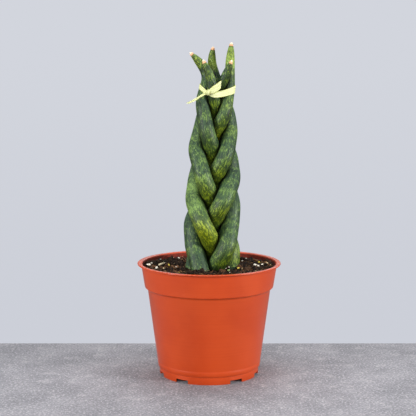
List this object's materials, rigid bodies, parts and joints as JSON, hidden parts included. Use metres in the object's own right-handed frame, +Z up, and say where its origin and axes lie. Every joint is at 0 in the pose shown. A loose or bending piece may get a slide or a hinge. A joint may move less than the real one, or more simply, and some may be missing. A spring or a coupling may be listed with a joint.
{
  "type": "potted cylindrical snake plant with plaited leaves",
  "caption": "Small potted snake plant: round spear leaves plaited into one upright column, tied with raffia, standing in soil in a terracotta-coloured plastic nursery pot.",
  "frame": {"origin": "on the pot's axis, in the plane the pot's foot stands on", "axes": "+Z up along the pot's axis, -Y towards the front that the picture shows, +X to the right of it"},
  "size_m": [0.12, 0.12, 0.2766],
  "materials": {
    "pot_plastic": "satin terracotta-coloured moulded plastic",
    "soil_mix": "dark crumbly potting soil with pale bits",
    "leaf_skin": "waxy dark green leaf skin with paler mottled bands",
    "raffia": "dry pale yellow-green raffia strip"
  },
  "bodies": {
    "root": {"pot": "pot_plastic", "soil": "soil_mix", "leaf_left_tip": "leaf_skin", "leaf_white_tip": "leaf_skin", "leaf_back_tip": "leaf_skin", "leaf_front_tip": "leaf_skin", "leaf_right_tip": "leaf_skin", "tie": "raffia"}
  },
  "joints": []
}
